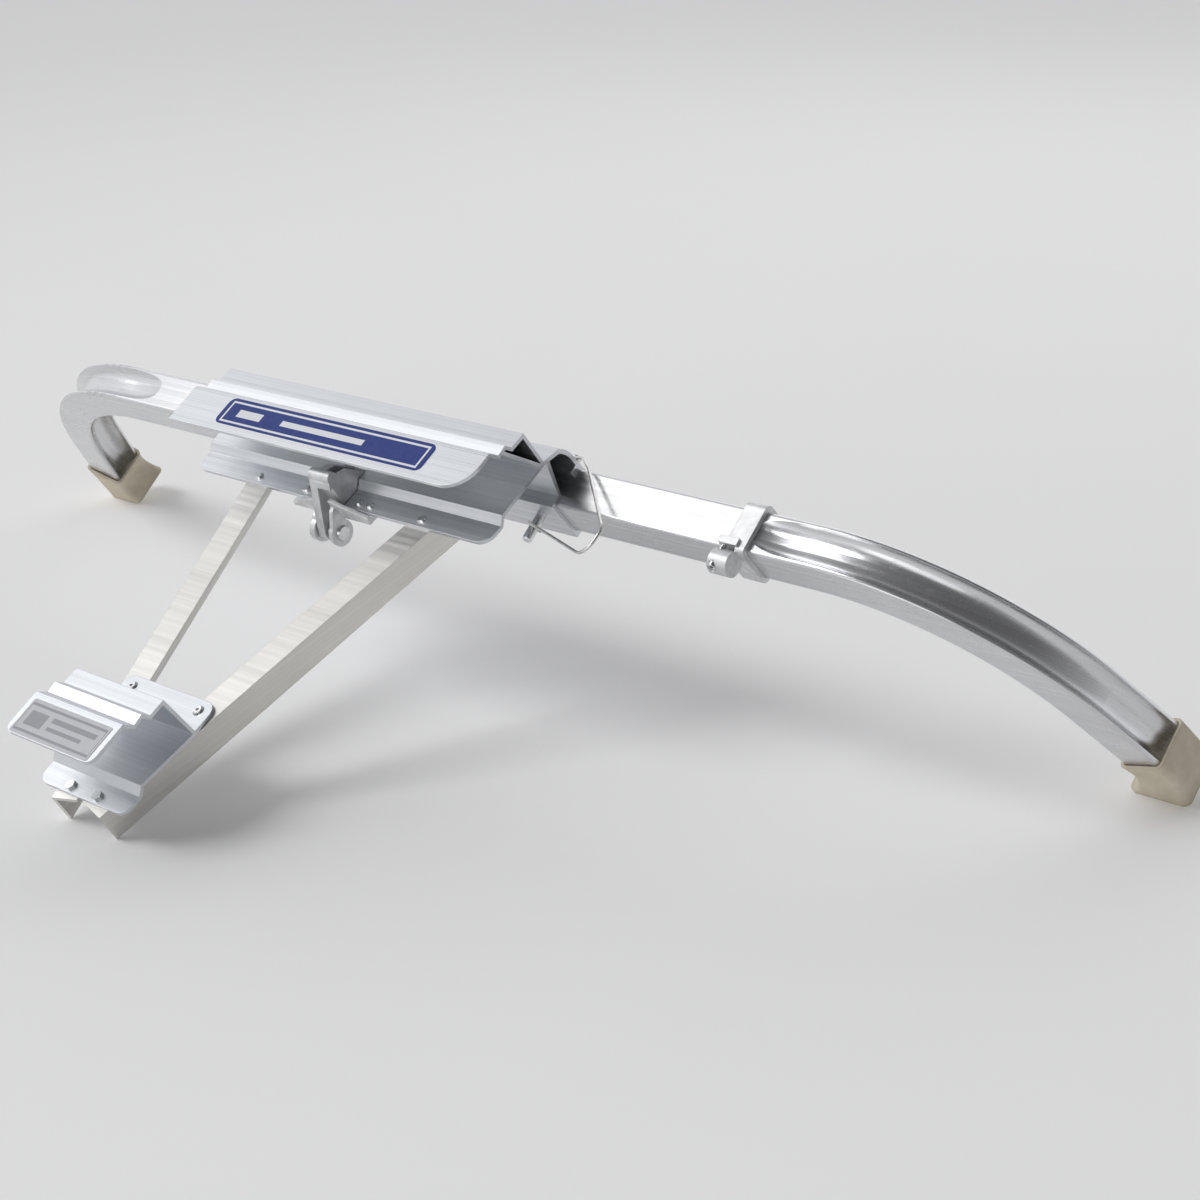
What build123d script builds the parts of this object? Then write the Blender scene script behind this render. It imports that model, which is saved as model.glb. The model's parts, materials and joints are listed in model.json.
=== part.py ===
from build123d import *
from math import asin, atan2, cos, degrees, radians, sin
import os

# Ladder stabilizer: a wide aluminium bracket that hooks over one rung, a shorter one that hooks over
# the rung below, two angle struts between them, a spring latch under the upper rung, and a square-tube
# bow whose two arms bend back to rubber feet. It stands as it does on a floor: on the two feet and the
# two strut ends. Places on it are given along the ladder it belongs to: x to the right, "up" the rails
# and "out" towards the climber, from the ridge of the upper bracket at its middle.

# ladder and brackets
rung_pitch = 305.0
bracket_width = 336.0
lower_width = 103.0
wall = 3.0
flange_out = -41.0  # front face of both lower flanges
strut_out = flange_out - wall  # plane where flanges and struts meet
flange_bottom = -77.0

# square tube and bow
tube = 36.0
tube_wall = 2.6
tube_corner = 3.0
tube_up = 14.38
tube_out = -85.44
tube_tilt = 10.7
bow_shift = 11.4
fit = 0.05  # running clearance on each side
bend_start = 386.0
bend_radius = 202.0
bend_angle = 65.0
tail = 67.0
dish_depth = 7.5
dish_half_width = 16.0
dish_corner = 13.0
dish_block = 34.0
dish_run_out = 45.0

# arm joint and collar
joint_x = 340.0
spigot = 70.0
collar_start = 335.0
collar_end = 353.0

# rubber feet
sole_half_height = 23.0
sole_depth = 212.0
sole_inner = 573.0
sole_outer = 621.0
mouth_distance = 58.5
mouth_size = 41.0

# angle struts
leg = 25.4
leg_thickness = 3.2
splay = 13.9
strut_length = 351.5
strut_foot_x = 28.9
strut_foot_up = -389.6

# fasteners
rivet_radius = 2.4
rivet_up = -70.0
strut_rivet_x = 94.5
strut_rivet_xs = (-strut_rivet_x, strut_rivet_x)
latch_rivet_xs = (-36.8, -24.0, 24.0, 36.8)
lower_rivet_x = 39.2
bolt_x = 15.9
bolt_radius = 2.5
head_size = 4.6  # of bolts and nuts, centre to corner

# latch
pivot_up = -88.0
pivot_out = -61.0
pivot_radius = 4.0
slot_half = 12.5
slot_top = -36.5

# lock pin and its wire bail
pin_x = 149.5
pin_w = 6.5
pin_radius = 4.0
hole_pitch = 25.4
hole_count = 7
bail_turn = 20.0
wire = 1.25  # radius

# where the ladder's coordinates stand: the feet and the strut ends touch the floor together
tilt = radians(tube_tilt)
sole_up = tube_up - sole_half_height * cos(tilt) + sole_depth * sin(tilt)
sole_out = tube_out - sole_half_height * sin(tilt) - sole_depth * cos(tilt)
lean = atan2(strut_out - leg - sole_out, sole_up - strut_foot_up)
origin_height = -(sole_up * sin(lean) + sole_out * cos(lean))
origin_back = 65.854  # centres the whole on Y = 0

side_dir = Vector(1, 0, 0)
up_dir = Vector(0, cos(lean), sin(lean))
out_dir = Vector(0, -sin(lean), cos(lean))
tube_up_dir = up_dir * cos(tilt) + out_dir * sin(tilt)
tube_out_dir = out_dir * cos(tilt) - up_dir * sin(tilt)
ladder_origin = Vector(-bow_shift, origin_back, origin_height)


def on_ladder(x, up, out):
    return ladder_origin + side_dir * x + up_dir * up + out_dir * out


def on_tube(x, v, w):
    """A point from the tube's axis: v up its section, w out of its front face."""
    return on_ladder(x, tube_up, tube_out) + tube_up_dir * v + tube_out_dir * w


def in_section(v, w):
    """The same point as (up, out), for an outline in the ladder's side view."""
    return (tube_up + v * cos(tilt) - w * sin(tilt), tube_out + v * sin(tilt) + w * cos(tilt))


def side_plane(x):
    """Side view at x: local x is up the ladder, local y is out of it."""
    return Plane(origin=on_ladder(x, 0, 0), x_dir=up_dir, z_dir=side_dir)


def front_plane(out):
    """Front view: local x is x, local y is up the ladder."""
    return Plane(origin=on_ladder(0, 0, out), x_dir=side_dir, z_dir=out_dir)


def tube_plane(x):
    """Square across the tube at x: local x is v, local y is w."""
    return Plane(origin=on_tube(x, 0, 0), x_dir=tube_up_dir, z_dir=side_dir)


def band(points, thickness):
    """Outline of a wall: a line and the same line moved square to itself, with mitred corners."""
    spans = [Vector(*b) - Vector(*a) for a, b in zip(points, points[1:])]
    sides = [Vector(span.Y, -span.X).normalized() for span in spans]
    mitres = [(a + b) / (1 + a.dot(b)) for a, b in zip(sides, sides[1:])]
    moves = [sides[0], *mitres, sides[-1]]
    moved = [Vector(*p) + m * thickness for p, m in zip(points, moves)]
    return [Vector(*p) for p in points] + moved[::-1]


def corner_waste(x, up, inwards, upwards, radius, out, depth):
    """What rounding takes off the corner (x, up) of a wall, from the plane out to depth behind it."""
    over = 0.2
    with BuildPart() as waste:
        with BuildSketch(front_plane(out)):
            with Locations((x + inwards * (radius - over) / 2, up + upwards * (radius - over) / 2)):
                Rectangle(radius + over, radius + over)
            with Locations((x + inwards * radius, up + upwards * radius)):
                Circle(radius, mode=Mode.SUBTRACT)
        extrude(amount=-depth)
    return waste.part


def save(part, name):
    part.label = name
    export_step(part, f"parts/{name}.step")


os.makedirs("parts", exist_ok=True)


# ---- upper bracket: one aluminium extrusion with a rung pocket and a closed channel for the tube ----
hook_front = [(0, 0), (-15, 0), (-19.5, 6.3), (-28.8, 5.1), (-34.9, 13), (-72.3, 11.7)]
hook_top = [(0, 0), (4.1, -36)]
hook_web = [(-24.5, 5.6), (2, -35)]
back_wall = [(21.7, -37.4), (3.9, -33.4), (-52, -35), (-58, flange_out), (flange_bottom, flange_out)]
channel_half = tube / 2 + fit
lip_front = channel_half + 2.5
tooth_front = channel_half + 3.3

with BuildPart() as bracket:
    with BuildSketch(side_plane(0)):
        Polygon(*band(hook_front, -wall), align=None)
        Polygon(*band(hook_top, wall), align=None)
        Polygon(*band(hook_web, wall), align=None)
        with BuildLine():
            lobe = ThreePointArc((21.7, -37.4), (27.6, -45), (30.6, -54))
            Polyline(
                lobe @ 1,
                in_section(21.5, 21.5),
                in_section(22, -22),
                in_section(-channel_half - wall, -22),
                in_section(-channel_half - wall, lip_front),
                in_section(-10.2, lip_front),
                (4.6, -37),
                lobe @ 0,
            )
        make_face()
        with BuildLine():
            inner_lobe = ThreePointArc((19.2, -40.4), (24.3, -46.8), (27.1, -55))
            Polyline(
                inner_lobe @ 1,
                in_section(18, tooth_front),
                in_section(10.5, tooth_front),
                in_section(10.5, channel_half - 1),
                in_section(-8, channel_half - 1),
                in_section(-8, channel_half),
                (8.4, -37.8),
                inner_lobe @ 0,
            )
        make_face(mode=Mode.SUBTRACT)
        Polygon(*band(back_wall, -wall), align=None)
    extrude(amount=bracket_width / 2, both=True)
    with BuildSketch(tube_plane(0)):
        RectangleRounded(2 * channel_half, 2 * channel_half, tube_corner - 0.5)
    extrude(amount=bracket_width / 2, both=True, mode=Mode.SUBTRACT)
    # slot that lets the latch pawl through the back wall
    with BuildSketch(front_plane(-30)):
        with Locations((0, (slot_top - 90) / 2)):
            Rectangle(2 * slot_half, 90 + slot_top)
    extrude(amount=-20, mode=Mode.SUBTRACT)
    # large round at the right lower corner of the front wall, small rounds on the flange
    add(corner_waste(bracket_width / 2, -72.3, -1, 1, 25, 25, 20), mode=Mode.SUBTRACT)
    for side in (-1, 1):
        end = side * bracket_width / 2
        add(corner_waste(end, flange_bottom, -side, 1, 12, flange_out + 1, 6), mode=Mode.SUBTRACT)
    # rivet holes
    with BuildSketch(front_plane(flange_out)):
        with Locations(*[(x, rivet_up) for x in strut_rivet_xs + latch_rivet_xs]):
            Circle(rivet_radius)
    extrude(amount=-wall, mode=Mode.SUBTRACT)
    # cross hole for the lock pin
    with BuildSketch(Plane(origin=on_tube(pin_x, 0, pin_w), x_dir=side_dir, z_dir=tube_up_dir)):
        Circle(pin_radius + 0.1)
    extrude(amount=40, both=True, mode=Mode.SUBTRACT)
save(bracket.part, "upper_bracket")


# ---- lower bracket: the same hook, with a flange above the valley and a shorter length ----
lower_front_bottom = -71.8 - rung_pitch
lower_front = [(up - rung_pitch, out) for up, out in hook_front[:-1]] + [(lower_front_bottom, 12.4)]
flange_top = 30.5 - rung_pitch
lower_top = [(-rung_pitch, 0), (4.6 - rung_pitch, flange_out - 1)]
lower_back = [
    (flange_top, flange_out),
    (-1 - rung_pitch, flange_out),
    (-53 - rung_pitch, -35),
    (-59 - rung_pitch, flange_out),
    (flange_bottom - rung_pitch, flange_out),
]
flange_rivet_up = 20.7 - rung_pitch
lower_bolt_up = -71.4 - rung_pitch

with BuildPart() as lower_bracket:
    with BuildSketch(side_plane(0)):
        Polygon(*band(lower_front, -wall), align=None)
        Polygon(*band(lower_top, wall), align=None)
        Polygon(*band(lower_back, -wall), align=None)
    extrude(amount=lower_width / 2, both=True)
    for side in (-1, 1):
        end = side * lower_width / 2
        add(corner_waste(end, flange_top, -side, -1, 10, flange_out + 2, 8), mode=Mode.SUBTRACT)
        add(corner_waste(end, flange_bottom - rung_pitch, -side, 1, 10, flange_out + 2, 8), mode=Mode.SUBTRACT)
        add(corner_waste(end, lower_front_bottom, -side, 1, 8, 25, 20), mode=Mode.SUBTRACT)
    with BuildSketch(front_plane(flange_out)):
        with Locations((-lower_rivet_x, flange_rivet_up), (lower_rivet_x, flange_rivet_up)):
            Circle(rivet_radius)
        with Locations((-bolt_x, lower_bolt_up), (bolt_x, lower_bolt_up)):
            Circle(bolt_radius)
    extrude(amount=-wall, mode=Mode.SUBTRACT)
save(lower_bracket.part, "lower_bracket")


# ---- angle struts ----
def strut(side):
    axis = side_dir * (side * sin(radians(splay))) + up_dir * cos(radians(splay))
    inward = axis.cross(out_dir) * -side
    foot = on_ladder(side * strut_foot_x, strut_foot_up, strut_out)
    section = Plane(origin=foot, x_dir=inward, z_dir=axis)
    back = -1 if section.y_dir.dot(out_dir) > 0 else 1
    with BuildPart() as angle:
        with BuildSketch(section):
            with BuildLine():
                Polyline(
                    (0, 0),
                    (leg, 0),
                    (leg, back * leg_thickness),
                    (leg_thickness, back * leg_thickness),
                    (leg_thickness, back * leg),
                    (0, back * leg),
                    close=True,
                )
            make_face()
        extrude(amount=strut_length)
        with BuildSketch(front_plane(strut_out)):
            with Locations((side * strut_rivet_x, rivet_up), (side * lower_rivet_x, flange_rivet_up)):
                Circle(rivet_radius)
            with Locations((side * bolt_x, lower_bolt_up)):
                Circle(bolt_radius)
        extrude(amount=-leg_thickness, mode=Mode.SUBTRACT)
    return angle.part


save(strut(-1), "left_strut")
save(strut(1), "right_strut")


# ---- fasteners ----
def rivets(places, head_radius, grip, ring=False):
    """Blind rivets through the flange: domed head in front, upset collar behind."""
    with BuildPart() as group:
        for x, up in places:
            front = front_plane(flange_out)
            with BuildSketch(front):
                with Locations((x, up)):
                    Circle(rivet_radius)
            extrude(amount=-grip)
            with BuildSketch(front):
                with Locations((x, up)):
                    Circle(head_radius)
            extrude(amount=1.8, taper=38)
            with BuildSketch(front_plane(flange_out - grip)):
                with Locations((x, up)):
                    Circle(3.6)
            extrude(amount=-2.5, taper=12)
            if ring:
                with BuildSketch(front_plane(flange_out + 1.8)):
                    with Locations((x, up)):
                        Circle(1.3)
                extrude(amount=-2.4, mode=Mode.SUBTRACT)
    return group.part


housing_plate = 4.0
strut_grip = wall + leg_thickness
save(rivets([(x, rivet_up) for x in strut_rivet_xs], 4.2, strut_grip), "upper_strut_rivets")
save(rivets([(x, rivet_up) for x in latch_rivet_xs], 4.0, wall + housing_plate), "latch_rivets")
lower_places = [(-lower_rivet_x, flange_rivet_up), (lower_rivet_x, flange_rivet_up)]
save(rivets(lower_places, 4.8, strut_grip, ring=True), "lower_strut_rivets")

with BuildPart() as bolts:
    for x in (-bolt_x, bolt_x):
        with BuildSketch(front_plane(flange_out)):
            with Locations((x, lower_bolt_up)):
                RegularPolygon(head_size, 6)
        extrude(amount=2.8)
        with BuildSketch(front_plane(flange_out)):
            with Locations((x, lower_bolt_up)):
                Circle(bolt_radius)
        extrude(amount=-strut_grip - 7)
save(bolts.part, "lower_bolts")

with BuildPart() as nuts:
    for x in (-bolt_x, bolt_x):
        with BuildSketch(front_plane(flange_out - strut_grip)):
            with Locations((x, lower_bolt_up)):
                RegularPolygon(head_size, 6)
                Circle(bolt_radius, mode=Mode.SUBTRACT)
        extrude(amount=-4.5)
save(nuts.part, "lower_nuts")


# ---- plain plates stuck on the front walls ----
def face_plane(points, middle):
    """Plane on the front face between two outline points, its centre at the given share of the way."""
    (up_a, out_a), (up_b, out_b) = points
    along = (up_dir * (up_a - up_b) + out_dir * (out_a - out_b)).normalized()
    centre = on_ladder(0, up_a + (up_b - up_a) * middle, out_a + (out_b - out_a) * middle)
    return Plane(origin=centre, x_dir=side_dir, z_dir=side_dir.cross(along))


with BuildPart() as emblem:
    with BuildSketch(face_plane(hook_front[-2:], 0.45)):
        RectangleRounded(236, 27, 6)
    extrude(amount=0.3)
save(emblem.part, "upper_decal")

with BuildPart() as sticker:
    with BuildSketch(face_plane(lower_front[-2:], 0.56)):
        RectangleRounded(92, 31, 2)
    extrude(amount=0.3)
save(sticker.part, "lower_decal")


# ---- bow: straight tube and its two bent arms ----
bend_end_x = bend_start + bend_radius * sin(radians(bend_angle))
bend_end_w = -bend_radius * (1 - cos(radians(bend_angle)))


def bow_x(side, distance):
    return bow_shift + side * distance


def turned_plane(side, distance, depth, turn):
    """Square across an arm whose run has turned back by an angle, at a place in the bow's plan."""
    normal = side_dir * (side * cos(radians(turn))) - tube_out_dir * sin(radians(turn))
    return Plane(origin=on_tube(bow_x(side, distance), 0, depth), x_dir=tube_up_dir, z_dir=normal)


def bend_axis(side):
    return Axis(on_tube(bow_x(side, bend_start), 0, -bend_radius), tube_up_dir * side)


def arm_solid(side, start, size, corner, reach=0.0):
    """Solid square bar from start out through the bend to the end of the tail."""
    with BuildPart() as bar:
        with BuildSketch(turned_plane(side, start, 0, 0)):
            RectangleRounded(size, size, corner)
        extrude(amount=bend_start - start)
        with BuildSketch(turned_plane(side, bend_start, 0, 0)):
            RectangleRounded(size, size, corner)
        revolve(axis=bend_axis(side), revolution_arc=bend_angle)
        with BuildSketch(turned_plane(side, bend_end_x, bend_end_w, bend_angle)):
            RectangleRounded(size, size, corner)
        extrude(amount=tail + reach)
    return bar.part


def dishes(side, start, offset, reach=0.0):
    """Solids that press a shallow dish into the front and the back of an arm; they run out towards start."""
    width = 2 * (dish_half_width + offset)
    height = dish_block + 2 * offset
    corner = dish_corner + offset
    floor_w = tube / 2 - dish_depth - offset
    full_depth = start + dish_run_out
    run_out_radius = (dish_run_out**2 + dish_depth**2) / (2 * dish_depth)
    run_out_angle = degrees(asin(dish_run_out / run_out_radius)) + 2
    with BuildPart() as tools:
        for face in (1, -1):
            centre = face * side * (floor_w + height / 2)
            axis_w = face * (tube / 2 - dish_depth + run_out_radius)
            run_out_axis = Axis(on_tube(bow_x(side, full_depth), 0, axis_w), tube_up_dir * side * face)
            with BuildSketch(turned_plane(side, full_depth, 0, 0)):
                with Locations((0, centre)):
                    RectangleRounded(width, height, corner)
            revolve(axis=run_out_axis, revolution_arc=run_out_angle)
            with BuildSketch(turned_plane(side, full_depth, 0, 0)):
                with Locations((0, centre)):
                    RectangleRounded(width, height, corner)
            extrude(amount=bend_start - full_depth)
            with BuildSketch(turned_plane(side, bend_start, 0, 0)):
                with Locations((0, centre)):
                    RectangleRounded(width, height, corner)
            revolve(axis=bend_axis(side), revolution_arc=bend_angle)
            with BuildSketch(turned_plane(side, bend_end_x, bend_end_w, bend_angle)):
                with Locations((0, centre)):
                    RectangleRounded(width, height, corner)
            extrude(amount=tail + reach)
    return tools.part


def hollow_arm(side, start, dish_start):
    """Square-tube arm with its dished bend."""
    with BuildPart() as core:
        add(arm_solid(side, start, tube - 2 * tube_wall, 1.0, reach=1))
        add(dishes(side, dish_start, tube_wall, reach=2), mode=Mode.SUBTRACT)
    with BuildPart() as arm:
        add(arm_solid(side, start, tube, tube_corner))
        add(dishes(side, dish_start, 0, reach=2), mode=Mode.SUBTRACT)
        add(core.part, mode=Mode.SUBTRACT)
    return arm.part


bow_arm_start = 300.0
with BuildPart() as bow:
    add(hollow_arm(-1, bow_arm_start, 339.0))
    with BuildSketch(tube_plane(bow_x(-1, bow_arm_start))):
        RectangleRounded(tube, tube, tube_corner)
        RectangleRounded(tube - 2 * tube_wall, tube - 2 * tube_wall, 1.0, mode=Mode.SUBTRACT)
    extrude(amount=joint_x - bow_x(-1, bow_arm_start))
    # row of cross holes: the lock pin takes any of them, so the bow shifts sideways in steps
    for step in range(hole_count):
        hole_at = on_tube(pin_x - step * hole_pitch, 0, pin_w)
        with BuildSketch(Plane(origin=hole_at, x_dir=side_dir, z_dir=tube_up_dir)):
            Circle(pin_radius + 0.15)
        extrude(amount=tube, both=True, mode=Mode.SUBTRACT)
save(bow.part, "bow_tube")

spigot_size = tube - 2 * tube_wall - 2 * fit
with BuildPart() as right_arm:
    add(hollow_arm(1, joint_x + 0.2 - bow_shift, 349.0 - bow_shift))
    with BuildSketch(tube_plane(joint_x - spigot)):
        RectangleRounded(spigot_size, spigot_size, 1.0)
        RectangleRounded(spigot_size - 4, spigot_size - 4, 1.0, mode=Mode.SUBTRACT)
    extrude(amount=spigot + 0.2)
    with BuildSketch(tube_plane(joint_x + 0.2)):
        RectangleRounded(tube - tube_wall, tube - tube_wall, 1.0)
        RectangleRounded(spigot_size - 4, spigot_size - 4, 1.0, mode=Mode.SUBTRACT)
    extrude(amount=1.6)
save(right_arm.part, "right_arm")


# ---- collar: split clamp that holds the right arm at the joint ----
collar_wall = 4.5
collar_back = 2.5
ear_start = 330.0
ear_end = 347.0
with BuildPart() as collar:
    with BuildSketch(tube_plane(collar_start)):
        with Locations((0, (collar_wall - collar_back) / 2)):
            RectangleRounded(tube + 2 * collar_wall, tube + collar_wall + collar_back, 6)
    extrude(amount=collar_end - collar_start)
    with BuildSketch(tube_plane(ear_start)):
        # upper ear, a ridge proud of the front; lower ear, a barrel round the lower front corner
        with Locations((-14.5, 21)):
            Rectangle(6, 8)
        with Locations((-29, 16.5)):
            Circle(9.5)
    extrude(amount=ear_end - ear_start)
    with BuildSketch(tube_plane(ear_start - 1)):
        with Locations((-19, 25)):
            Rectangle(3, 22)
    extrude(amount=ear_end - ear_start - 1, mode=Mode.SUBTRACT)
    with BuildSketch(tube_plane(ear_start - 1)):
        RectangleRounded(tube, tube, tube_corner)
    extrude(amount=collar_end - ear_start + 2, mode=Mode.SUBTRACT)
    with BuildSketch(tube_plane(joint_x)):
        RectangleRounded(2 * channel_half, 2 * channel_half, tube_corner)
    extrude(amount=collar_end - joint_x + 1, mode=Mode.SUBTRACT)
    with BuildSketch(Plane(origin=on_tube(ear_start + 4.5, -40, 21.3), x_dir=side_dir, z_dir=tube_up_dir)):
        Circle(2)
    extrude(amount=27.5, mode=Mode.SUBTRACT)
    with BuildSketch(Plane(origin=on_tube(ear_start + 4.5, -40, 21.3), x_dir=side_dir, z_dir=tube_up_dir)):
        Circle(3.6)
    extrude(amount=7, mode=Mode.SUBTRACT)
save(collar.part, "arm_collar")

with BuildPart() as clamp_screw:
    with BuildSketch(Plane(origin=on_tube(ear_start + 4.5, -33, 21.3), x_dir=side_dir, z_dir=tube_up_dir)):
        Circle(2)
    extrude(amount=20)
    with BuildSketch(Plane(origin=on_tube(ear_start + 4.5, -33, 21.3), x_dir=side_dir, z_dir=-tube_up_dir)):
        Circle(3.5)
        RegularPolygon(1.6, 6, mode=Mode.SUBTRACT)
    extrude(amount=4)
save(clamp_screw.part, "collar_screw")


# ---- rubber feet ----
def foot(side):
    def across(run):
        run_x = bend_end_x + run * cos(radians(bend_angle))
        return turned_plane(side, run_x, bend_end_w - run * sin(radians(bend_angle)), bend_angle)

    sole_x = bow_x(side, (sole_inner + sole_outer) / 2)

    def sole_plane(height):
        origin = on_tube(sole_x, 0, height - sole_depth)
        return Plane(origin=origin, x_dir=tube_up_dir, z_dir=-tube_out_dir)

    sole_width = sole_outer - sole_inner
    with BuildPart() as boot:
        with BuildSketch(across(mouth_distance)):
            RectangleRounded(mouth_size + 1.5, mouth_size + 1.5, 6)
        with BuildSketch(across(mouth_distance + 10)):
            RectangleRounded(mouth_size, mouth_size, 6)
        with BuildSketch(sole_plane(1.0)):
            RectangleRounded(2 * sole_half_height - 0.4, sole_width - 0.4, 6)
        loft()
        with BuildSketch(sole_plane(1.5)):
            RectangleRounded(2 * sole_half_height, sole_width, 6)
        extrude(amount=1.5)
        with BuildSketch(across(mouth_distance - 1)):
            RectangleRounded(tube, tube, tube_corner)
        extrude(amount=tail - mouth_distance + 1, mode=Mode.SUBTRACT)
        # lip that flares away from the tube round the mouth
        with BuildSketch(across(mouth_distance)):
            RectangleRounded(tube + 1.6, tube + 1.6, tube_corner + 0.8)
        with BuildSketch(across(mouth_distance + 2)):
            RectangleRounded(tube, tube, tube_corner)
        loft(mode=Mode.SUBTRACT)
    return boot.part


save(foot(-1), "left_foot")
save(foot(1), "right_foot")


# ---- spring latch ----
def level_plane(up):
    """Level across the rails: local x is x, local y points into the ladder."""
    return Plane(origin=on_ladder(0, up, 0), x_dir=side_dir, z_dir=up_dir)


plate_bottom = -82.5
gusset_top = -79.0
left_cheek = (-18.5, -12.5)
right_cheek = (4.5, 8.5)
cheek_radius = 11.0


def cheek(span, outline):
    """Side plate of the latch, rounded about its pivot."""
    with BuildPart() as plate:
        with BuildSketch(side_plane(span[0])):
            Polygon(*outline, align=None)
            with Locations((pivot_up, pivot_out)):
                Circle(cheek_radius)
        extrude(amount=span[1] - span[0])
    return plate.part


def gusset(inner, outer, reach):
    """Level rib along the plate's lower edge, tapering to a thin tip at its outer end."""
    with BuildPart() as rib:
        with BuildSketch(level_plane(plate_bottom)):
            tip = [(outer, -strut_out), (outer, -strut_out - 2)]
            Polygon((inner, -strut_out), *tip, (inner, -strut_out - reach), align=None)
        extrude(amount=gusset_top - plate_bottom)
    return rib.part


with BuildPart() as housing:
    with BuildSketch(front_plane(strut_out)):
        with Locations((0, (plate_bottom - 58) / 2)):
            Rectangle(88, -58 - plate_bottom)
        with Locations((0, -43)):
            Rectangle(44, 32)
        with Locations((0, (plate_bottom - 34) / 2 - 1)):
            Rectangle(2 * slot_half, -34 - plate_bottom + 2, mode=Mode.SUBTRACT)
        with Locations(*[(x, rivet_up) for x in latch_rivet_xs]):
            Circle(rivet_radius, mode=Mode.SUBTRACT)
    extrude(amount=-housing_plate)
    add(cheek(left_cheek, [(-98.6, -60), (-88, -48), (-79, -44), (-50, -44), (-50, -50), (-78, -66)]))
    add(cheek(right_cheek, [(-98, -58), (-86, -40), (gusset_top, -36), (gusset_top, -53)]))
    add(gusset(-15, -38, 9))
    add(gusset(right_cheek[0], 44, 12))
    with BuildSketch(side_plane(left_cheek[0])):
        with Locations((pivot_up, pivot_out)):
            Circle(pivot_radius)
    extrude(amount=right_cheek[1] - left_cheek[0], mode=Mode.SUBTRACT)
save(housing.part, "latch_housing")

with BuildPart() as pivot_pin:
    with BuildSketch(side_plane(left_cheek[0])):
        with Locations((pivot_up, pivot_out)):
            Circle(pivot_radius)
    extrude(amount=right_cheek[1] - left_cheek[0])
    for x, outwards in ((left_cheek[0], -1), (right_cheek[1], 1)):
        with BuildSketch(side_plane(x)):
            with Locations((pivot_up, pivot_out)):
                Circle(6.5)
        extrude(amount=outwards * 2.5, taper=20)
save(pivot_pin.part, "latch_pivot_pin")

pawl_half = 11.6
boss_right = -3.2
knob = (-71.5, -15.5)
with BuildPart() as pawl:
    with BuildSketch(side_plane(-pawl_half)):
        Polygon(
            (-77, -17),
            (-95.5, -58),
            (-84, -69),
            (-44, -47.5),
            (-39.5, -39),
            (-56, -20),
            (-66, -16.5),
            align=None,
        )
        with Locations(knob):
            Circle(5.2)
        with Locations((pivot_up, pivot_out)):
            Circle(8)
    extrude(amount=2 * pawl_half)
    # hollow, open at the front above the knob
    with BuildSketch(side_plane(boss_right)):
        Polygon((-66, -20), (-73, -51), (-47.5, -45), (-44, -38.5), (-46, -20), (-66, -8), align=None)
    extrude(amount=pawl_half - 3.6 - boss_right, mode=Mode.SUBTRACT)
    # right of its boss the pawl keeps clear of the pivot, the spring and the right cheek
    with BuildSketch(side_plane(boss_right)):
        Polygon((-76, -22), (-110, -22), (-110, -80), (-40, -80), (-40, -55), (-76, -55), align=None)
    extrude(amount=pawl_half - boss_right, mode=Mode.SUBTRACT)
    with BuildSketch(side_plane(-pawl_half)):
        with Locations((pivot_up, pivot_out)):
            Circle(pivot_radius + fit)
    extrude(amount=2 * pawl_half, mode=Mode.SUBTRACT)
save(pawl.part, "latch_pawl")

coil_wire = 0.8  # radius
coil_radius = 5.4
coil_pitch = 1.65
coil_turns = 3
coil_start = on_ladder(boss_right + coil_wire + 0.6, pivot_up, pivot_out)
with BuildPart() as spring:
    with BuildLine() as coil:
        Helix(coil_pitch, coil_pitch * coil_turns, coil_radius, center=coil_start, direction=side_dir)
    with BuildSketch(Plane(origin=coil.line @ 0, z_dir=coil.line % 0)):
        Circle(coil_wire)
    sweep(path=coil.line)
    for end, onwards in ((0, -1), (1, 1)):
        with BuildSketch(Plane(origin=coil.line @ end, z_dir=(coil.line % end) * onwards)):
            Circle(coil_wire)
        extrude(amount=7)
save(spring.part, "latch_spring")


# ---- lock pin and bail ----
head_v = 28.5
tip_v = -47.0
hook_v = -34.0
bail_offset = 5.6
bail_lean = radians(bail_turn)
bail_dir = side_dir * cos(bail_lean) + tube_out_dir * sin(bail_lean)
bail_normal = tube_out_dir * cos(bail_lean) - side_dir * sin(bail_lean)


def pin_plane(v):
    """Square across the lock pin: local x runs along the bail."""
    return Plane(origin=on_tube(pin_x, v, pin_w), x_dir=bail_dir, z_dir=tube_up_dir)


with BuildPart() as lock_pin:
    with BuildSketch(pin_plane(tip_v + 1.5)):
        Circle(pin_radius)
    extrude(amount=24 - tip_v)
    with BuildSketch(pin_plane(tip_v + 1.5)):
        Circle(pin_radius)
    extrude(amount=-1.5, taper=35)
    with BuildSketch(pin_plane(22.1)):
        SlotOverall(13, 8.4)
    extrude(amount=11)
    head_top = lock_pin.faces().sort_by(Axis(on_tube(0, 0, 0), tube_up_dir))[-1]
    fillet(head_top.edges(), 2)
    hole = Plane(origin=on_tube(pin_x, head_v, pin_w), x_dir=bail_dir, z_dir=bail_normal)
    with BuildSketch(hole):
        Circle(wire + 0.1)
    extrude(amount=10, both=True, mode=Mode.SUBTRACT)
save(lock_pin.part, "lock_pin")

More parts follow.
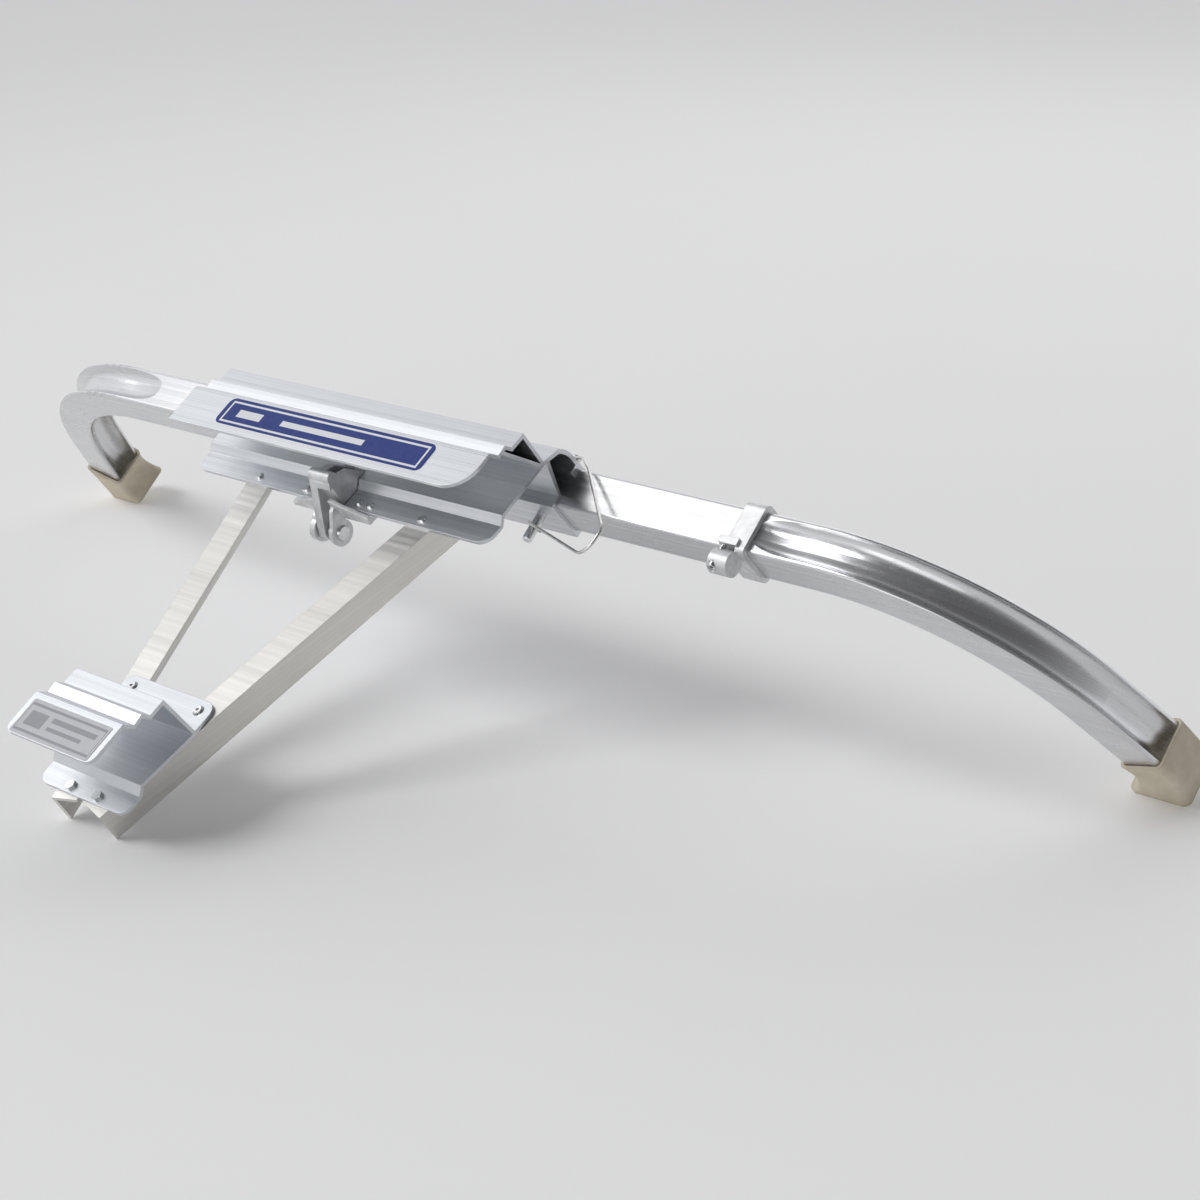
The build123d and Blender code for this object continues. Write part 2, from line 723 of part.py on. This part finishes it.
bail_plane = Plane(
    origin=on_tube(pin_x, 0, pin_w) + bail_normal * bail_offset, x_dir=bail_dir, z_dir=bail_normal
)
with BuildPart() as bail:
    with BuildLine(bail_plane) as route:
        FilletPolyline((0, head_v), (24, 26), (42, 14.5), (109, -41), (105, -65.5), (0, hook_v), radius=12)
    with BuildSketch(Plane(origin=route.line @ 0, z_dir=route.line % 0)):
        Circle(wire)
    sweep(path=route.line)
    # leg through the head
    head_hole = Plane(origin=route.line @ 0, z_dir=-bail_normal)
    with BuildSketch(head_hole):
        Circle(wire)
    extrude(amount=bail_offset + 5.2)
    with Locations(route.line @ 0):
        Sphere(wire)
    # hook round the pin
    run = route.line % 1
    with BuildSketch(Plane(origin=route.line @ 1, z_dir=run)):
        Circle(wire)
    revolve(axis=Axis(on_tube(pin_x, hook_v, pin_w), bail_normal.cross(run)), revolution_arc=215)
save(bail.part, "lock_pin_bail")
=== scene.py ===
"""Ladder stabilizer: materials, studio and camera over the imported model. Metres, +Z up."""

import bpy
import json
from math import radians
from mathutils import Euler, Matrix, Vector

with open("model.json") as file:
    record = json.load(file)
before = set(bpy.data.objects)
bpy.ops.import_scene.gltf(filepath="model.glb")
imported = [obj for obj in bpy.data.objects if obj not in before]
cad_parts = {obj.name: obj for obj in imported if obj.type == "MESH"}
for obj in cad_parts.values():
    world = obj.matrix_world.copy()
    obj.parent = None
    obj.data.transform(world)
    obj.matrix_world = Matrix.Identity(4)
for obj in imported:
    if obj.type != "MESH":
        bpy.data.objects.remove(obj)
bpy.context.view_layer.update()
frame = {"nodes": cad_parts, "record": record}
nodes = frame["nodes"]

# directions of the tilted ladder and of the bow's tube, from the record's mounts
mounts = {mount["name"]: mount for mount in frame["record"]["mounts"]}
rail_up = -Vector(mounts["upper_rung_hook"]["axis"])
tube_front = -Vector(mounts["right_sole"]["axis"])
tube_up = tube_front.cross(Vector((1, 0, 0)))
ladder_out = Vector((1, 0, 0)).cross(rail_up)


# ---- shader helpers ----
class Shader:
    """A material with a Principled surface, and short ways to add the nodes that feed it."""

    def __init__(self, name, metallic=0.0, roughness=0.5, specular=0.5):
        self.material = bpy.data.materials.new(name)
        self.material.use_nodes = True
        self.tree = self.material.node_tree
        self.surface = self.tree.nodes["Principled BSDF"]
        self.surface.inputs["Metallic"].default_value = metallic
        self.surface.inputs["Roughness"].default_value = roughness
        self.surface.inputs["Specular IOR Level"].default_value = specular
        self.normal = None

    def feed(self, socket, value):
        if isinstance(value, bpy.types.NodeSocket):
            self.tree.links.new(value, socket)
        elif value is not None:
            socket.default_value = value

    def place(self, scale=(1, 1, 1), turn=(0, 0, 0), kind="Object"):
        """Coordinates in the part's frame, turned and then stretched; scale is a frequency."""
        source = self.tree.nodes.new("ShaderNodeTexCoord")
        mapping = self.tree.nodes.new("ShaderNodeMapping")
        mapping.inputs["Scale"].default_value = scale
        mapping.inputs["Rotation"].default_value = turn
        self.tree.links.new(source.outputs[kind], mapping.inputs["Vector"])
        return mapping.outputs["Vector"]

    def along(self, direction, frequency):
        """One coordinate: how far a point lies along a direction, times a frequency."""
        source = self.tree.nodes.new("ShaderNodeTexCoord")
        dot = self.tree.nodes.new("ShaderNodeVectorMath")
        dot.operation = "DOT_PRODUCT"
        dot.inputs[1].default_value = direction * frequency
        self.tree.links.new(source.outputs["Object"], dot.inputs[0])
        return dot.outputs["Value"]

    def noise(self, vector, scale=1.0, detail=4.0, roughness=0.55, distortion=0.0):
        made = self.tree.nodes.new("ShaderNodeTexNoise")
        made.inputs["Scale"].default_value = scale
        made.inputs["Detail"].default_value = detail
        made.inputs["Roughness"].default_value = roughness
        made.inputs["Distortion"].default_value = distortion
        self.tree.links.new(vector, made.inputs["Vector"])
        return made.outputs["Fac"]

    def lines(self, value, detail=5.0):
        """Noise along one coordinate, so it draws fine lines across it."""
        made = self.tree.nodes.new("ShaderNodeTexNoise")
        made.noise_dimensions = "1D"
        made.inputs["Scale"].default_value = 1.0
        made.inputs["Detail"].default_value = detail
        made.inputs["Roughness"].default_value = 0.7
        self.tree.links.new(value, made.inputs["W"])
        return made.outputs["Fac"]

    def cells(self, vector, scale):
        made = self.tree.nodes.new("ShaderNodeTexVoronoi")
        made.inputs["Scale"].default_value = scale
        self.tree.links.new(vector, made.inputs["Vector"])
        return made.outputs["Distance"]

    def math(self, operation, a, b=None, clamp=False):
        made = self.tree.nodes.new("ShaderNodeMath")
        made.operation = operation
        made.use_clamp = clamp
        self.feed(made.inputs[0], a)
        self.feed(made.inputs[1], b)
        return made.outputs["Value"]

    def ranged(self, value, low, high, start=0.3, end=0.7):
        made = self.tree.nodes.new("ShaderNodeMapRange")
        self.feed(made.inputs["Value"], value)
        made.inputs["From Min"].default_value = start
        made.inputs["From Max"].default_value = end
        made.inputs["To Min"].default_value = low
        made.inputs["To Max"].default_value = high
        return made.outputs["Result"]

    def mixed(self, share, first, second):
        made = self.tree.nodes.new("ShaderNodeMix")
        made.data_type = "RGBA"
        self.feed(made.inputs["Factor"], share)
        for socket, value in ((made.inputs["A"], first), (made.inputs["B"], second)):
            self.feed(socket, value if isinstance(value, bpy.types.NodeSocket) else (*value, 1))
        return made.outputs["Result"]

    def bump(self, height, distance, strength=1.0):
        made = self.tree.nodes.new("ShaderNodeBump")
        made.inputs["Distance"].default_value = distance
        made.inputs["Strength"].default_value = strength
        self.tree.links.new(height, made.inputs["Height"])
        if self.normal is not None:
            self.tree.links.new(self.normal, made.inputs["Normal"])
        self.normal = made.outputs["Normal"]

    def round_edges(self, radius):
        """Softens the shading over sharp edges, as a broken edge does."""
        made = self.tree.nodes.new("ShaderNodeBevel")
        made.samples = 6
        made.inputs["Radius"].default_value = radius
        self.normal = made.outputs["Normal"]

    def done(self, colour, roughness=None):
        self.feed(self.surface.inputs["Base Color"], colour)
        self.feed(self.surface.inputs["Roughness"], roughness)
        if self.normal is not None:
            self.tree.links.new(self.normal, self.surface.inputs["Normal"])
        return self.material


# ---- materials ----
def drawn_aluminium(name, bright, dull, smooth, rough, line_axes, line_depth=2.5e-5):
    """Extruded or drawn aluminium: fine lines along its length, faint blotches and handling scuffs."""
    shader = Shader(name, metallic=0.92)
    shader.round_edges(0.0006)
    fine = shader.lines(shader.along(line_axes, 1400.0))
    broad = shader.lines(shader.along(line_axes, 160.0), detail=2.0)
    lines = shader.math("ADD", shader.math("MULTIPLY", fine, 0.65), shader.math("MULTIPLY", broad, 0.35))
    cloud = shader.noise(shader.place(), scale=14.0, detail=5.0)
    scratched = shader.place((40, 300, 300), (0.4, 0.3, 0.9))
    scuff = shader.noise(scratched, scale=1.0, detail=6.0, distortion=0.6)
    worn = shader.ranged(scuff, 0.0, 1.0, 0.60, 0.72)
    colour = shader.mixed(shader.ranged(lines, 0.0, 1.0, 0.35, 0.65), dull, bright)
    colour = shader.mixed(shader.ranged(cloud, 0.0, 0.35, 0.35, 0.7), colour, tuple(c * 0.9 for c in dull))
    rough_lines = shader.ranged(lines, smooth, rough, 0.3, 0.7)
    rough_all = shader.math("ADD", rough_lines, shader.math("MULTIPLY", worn, 0.10))
    rough_all = shader.math("ADD", rough_all, shader.ranged(cloud, -0.04, 0.05))
    shader.bump(lines, line_depth, 0.5)
    shader.bump(scuff, 2.0e-5, 0.25)
    return shader.done(colour, rough_all)


def cast_aluminium():
    """Die-cast surface: orange-peel grain and small pits, with painted shade in the hollows of the lumps
    and painted highlight flecks on the grain.
    """
    shader = Shader("cast_aluminium", metallic=0.75)
    shader.round_edges(0.0009)
    grain = shader.noise(shader.place(), scale=650.0, detail=6.0, roughness=0.65)
    lumps = shader.noise(shader.place(), scale=110.0, detail=4.0)
    pits = shader.cells(shader.place(), 420.0)
    # painted shade: darker where the lumps sink, in the hollows of the bump
    hollow_shade = shader.ranged(lumps, 0.0, 1.0, 0.35, 0.65)
    colour = shader.mixed(hollow_shade, (0.56, 0.57, 0.58), (0.72, 0.73, 0.73))
    # painted highlight: the grain's raised flecks lifted towards 0.82
    colour = shader.mixed(shader.ranged(grain, 0.0, 0.6, 0.5, 0.72), colour, (0.82, 0.82, 0.82))
    shader.bump(lumps, 2.5e-4, 0.3)
    shader.bump(grain, 1.5e-4, 0.6)
    shader.bump(pits, 8.0e-5, 0.3)
    return shader.done(colour, shader.ranged(grain, 0.36, 0.60))


def zinc(name, tint, smooth, rough):
    """Bright plated steel with a slight cloudiness and fine marks."""
    shader = Shader(name, metallic=1.0)
    shader.round_edges(0.0003)
    cloud = shader.noise(shader.place(), scale=160.0, detail=5.0)
    marks = shader.noise(shader.place((900, 150, 900), (0.5, 0.2, 0.3)), scale=1.0, detail=3.0)
    colour = shader.mixed(shader.ranged(cloud, 0.0, 1.0), tuple(c * 0.78 for c in tint), tint)
    shader.bump(marks, 2.0e-5, 0.4)
    return shader.done(colour, shader.ranged(marks, smooth, rough))


def tan_rubber():
    """Moulded tan rubber, matte, with fine grain, mottling and a little dust."""
    shader = Shader("foot_rubber", specular=0.35)
    shader.round_edges(0.0012)
    mottle = shader.noise(shader.place(), scale=70.0, detail=6.0)
    grain = shader.noise(shader.place(), scale=1500.0, detail=3.0)
    dust = shader.noise(shader.place(), scale=28.0, detail=3.0)
    colour = shader.mixed(shader.ranged(mottle, 0.0, 1.0), (0.54, 0.48, 0.37), (0.64, 0.58, 0.47))
    colour = shader.mixed(shader.ranged(dust, 0.0, 0.30, 0.45, 0.75), colour, (0.72, 0.67, 0.58))
    shader.bump(mottle, 2.0e-4, 0.35)
    shader.bump(grain, 6.0e-5, 0.5)
    return shader.done(colour, shader.ranged(grain, 0.62, 0.82))


def band_mask(shader, value, low, high):
    """One where a 0 to 1 coordinate lies between two limits."""
    above = shader.math("GREATER_THAN", value, low)
    below = shader.math("LESS_THAN", value, high)
    return shader.math("MULTIPLY", above, below)


def block_mask(shader, across, up, limits):
    """One inside a block of the label, given its left, right, lower and upper limits."""
    left, right, low, high = limits
    columns = band_mask(shader, across, left, right)
    return shader.math("MULTIPLY", columns, band_mask(shader, up, low, high))


def decal(name, field, mark, bars, roughness):
    """Plain vinyl label: a field with a keyline and blank bars, and no lettering."""
    shader = Shader(name, specular=0.3)
    split = shader.tree.nodes.new("ShaderNodeSeparateXYZ")
    shader.tree.links.new(shader.place(kind="Generated"), split.inputs["Vector"])
    across, up = split.outputs["X"], split.outputs["Z"]
    inside = block_mask(shader, across, up, (0.020, 0.980, 0.10, 0.90))
    core = block_mask(shader, across, up, (0.028, 0.972, 0.17, 0.83))
    marks = shader.math("SUBTRACT", inside, core, clamp=True)
    for limits in bars:
        marks = shader.math("MAXIMUM", marks, block_mask(shader, across, up, limits))
    wear = shader.noise(shader.place(), scale=220.0, detail=6.0)
    ink = shader.mixed(shader.ranged(wear, 0.0, 0.35), field, tuple(c * 0.8 for c in field))
    shader.bump(wear, 2.0e-5, 0.3)
    return shader.done(shader.mixed(marks, ink, mark), shader.ranged(wear, roughness, roughness + 0.15))


def paint(material, *names):
    for name in names:
        obj = nodes[name]
        obj.data.materials.clear()
        obj.data.materials.append(material)


across_rails = rail_up + ladder_out * 0.35
paint(
    drawn_aluminium("bracket_aluminium", (0.77, 0.79, 0.81), (0.58, 0.60, 0.63), 0.26, 0.44, across_rails),
    "upper_bracket",
    "lower_bracket",
)
tube_lines = tube_up + tube_front * 0.2
tube_line_depth = 1.2e-5
tube_aluminium = drawn_aluminium(
    "tube_aluminium", (0.74, 0.75, 0.77), (0.62, 0.62, 0.63), 0.18, 0.30, tube_lines, tube_line_depth
)
paint(tube_aluminium, "bow_tube", "right_arm")
strut_lines = ladder_out + rail_up * 0.1
paint(
    drawn_aluminium("strut_aluminium", (0.78, 0.77, 0.74), (0.62, 0.61, 0.58), 0.26, 0.44, strut_lines),
    "left_strut",
    "right_strut",
)
paint(cast_aluminium(), "arm_collar", "latch_housing", "latch_pawl")
paint(
    zinc("bright_zinc", (0.80, 0.81, 0.82), 0.14, 0.30),
    "upper_strut_rivets",
    "latch_rivets",
    "lower_strut_rivets",
    "lower_bolts",
    "lower_nuts",
    "collar_screw",
    "latch_pivot_pin",
    "lock_pin",
)
paint(zinc("spring_steel", (0.72, 0.71, 0.70), 0.18, 0.34), "latch_spring", "lock_pin_bail")
paint(tan_rubber(), "left_foot", "right_foot")
blue_bars = ((0.30, 0.70, 0.40, 0.60), (0.08, 0.20, 0.36, 0.64))
paint(decal("decal_blue", (0.02, 0.045, 0.24), (0.80, 0.82, 0.86), blue_bars, 0.48), "upper_decal")
grey_bars = ((0.08, 0.30, 0.30, 0.70), (0.36, 0.92, 0.56, 0.70), (0.36, 0.80, 0.34, 0.44))
paint(decal("decal_silver", (0.60, 0.61, 0.63), (0.34, 0.35, 0.38), grey_bars, 0.30), "lower_decal")


# ---- smooth shading with kept edges ----
sharp_edge = radians(28)
for obj in nodes.values():
    for polygon in obj.data.polygons:
        polygon.use_smooth = True
    obj.data.set_sharp_from_angle(angle=sharp_edge)


# ---- studio ----
floor_size = 80


def floor():
    bpy.ops.mesh.primitive_plane_add(size=floor_size, location=(0, 0, 0))
    plane = bpy.context.object
    plane.name = "studio_floor"
    shader = Shader("studio_floor", roughness=0.9, specular=0.1)
    paper = shader.noise(shader.place(), scale=3.0, detail=2.0)
    plane.data.materials.append(shader.done(shader.mixed(paper, (0.94, 0.94, 0.935), (0.96, 0.96, 0.96))))


def area_light(name, place, target, width, height, power, colour=(1, 1, 1)):
    light = bpy.data.lights.new(name, "AREA")
    light.shape = "RECTANGLE"
    light.size = width
    light.size_y = height
    light.energy = power
    light.color = colour
    obj = bpy.data.objects.new(name, light)
    obj.location = place
    obj.rotation_euler = (Vector(target) - Vector(place)).to_track_quat("-Z", "Y").to_euler()
    bpy.context.scene.collection.objects.link(obj)


def studio_world():
    """Soft studio surroundings: white all round, with a dark patch above on the right."""
    world = bpy.data.worlds.new("studio")
    world.use_nodes = True
    tree = world.node_tree
    source = tree.nodes.new("ShaderNodeTexCoord")
    dark_side = Vector((0.42, -0.27, 0.86)).normalized()
    dot = tree.nodes.new("ShaderNodeVectorMath")
    dot.operation = "DOT_PRODUCT"
    dot.inputs[1].default_value = dark_side
    tree.links.new(source.outputs["Generated"], dot.inputs[0])
    ramp = tree.nodes.new("ShaderNodeValToRGB")
    # share of the way towards the dark side, and the brightness there
    first, *between, last = (
        (0.0, 0.78), (0.55, 0.98), (0.645, 0.92), (0.71, 0.44), (0.80, 0.32), (0.90, 0.14), (1.0, 0.10)
    )
    elements = ramp.color_ramp.elements
    for element, (position, level) in zip(elements, (first, last)):
        element.position = position
        element.color = (level, level, level * 1.02, 1)
    for position, level in between:
        elements.new(position).color = (level, level, level * 1.02, 1)
    # the ramp takes 0 to 1, and the product of two directions runs from -1 to 1
    half = tree.nodes.new("ShaderNodeMath")
    half.operation = "MULTIPLY_ADD"
    half.inputs[1].default_value = 0.5
    half.inputs[2].default_value = 0.5
    tree.links.new(dot.outputs["Value"], half.inputs[0])
    tree.links.new(half.outputs["Value"], ramp.inputs["Fac"])
    tree.links.new(ramp.outputs["Color"], tree.nodes["Background"].inputs["Color"])
    tree.nodes["Background"].inputs["Strength"].default_value = 1.0
    return world


def soft_sun(name, place, angle, strength):
    """Even light over the whole floor, from the direction of a place."""
    light = bpy.data.lights.new(name, "SUN")
    light.angle = radians(angle)
    light.energy = strength
    obj = bpy.data.objects.new(name, light)
    obj.rotation_euler = (-Vector(place)).to_track_quat("-Z", "Y").to_euler()
    bpy.context.scene.collection.objects.link(obj)


floor()
middle = (0, 0, 0.15)
soft_sun("even", (-1.4, -1.4, 2.2), 26, 0.95)
area_light("key", (-1.9, -1.3, 2.4), middle, 2.4, 1.8, 10)
area_light("front", (0.6, -2.8, 0.9), middle, 2.2, 1.2, 9)
area_light("back", (-0.4, 2.6, 1.9), middle, 3.0, 1.2, 8)
world = studio_world()
bpy.context.scene.world = world
bpy.context.scene.view_settings.view_transform = "Standard"

# the camera fitted to the photograph: metres, degrees, and the lens in millimetres
camera_place = (1.29837, -1.09071, 0.75996)
camera_turn = (68.1175, 3.0526, 40.7772)
camera_data = bpy.data.cameras.new("camera")
camera_data.sensor_width = 36.0
camera_data.lens = 68.65
camera_data.shift_x = -0.0281
camera = bpy.data.objects.new("camera", camera_data)
camera.location = camera_place
camera.rotation_euler = Euler([radians(angle) for angle in camera_turn])
bpy.context.scene.collection.objects.link(camera)
bpy.context.scene.camera = camera
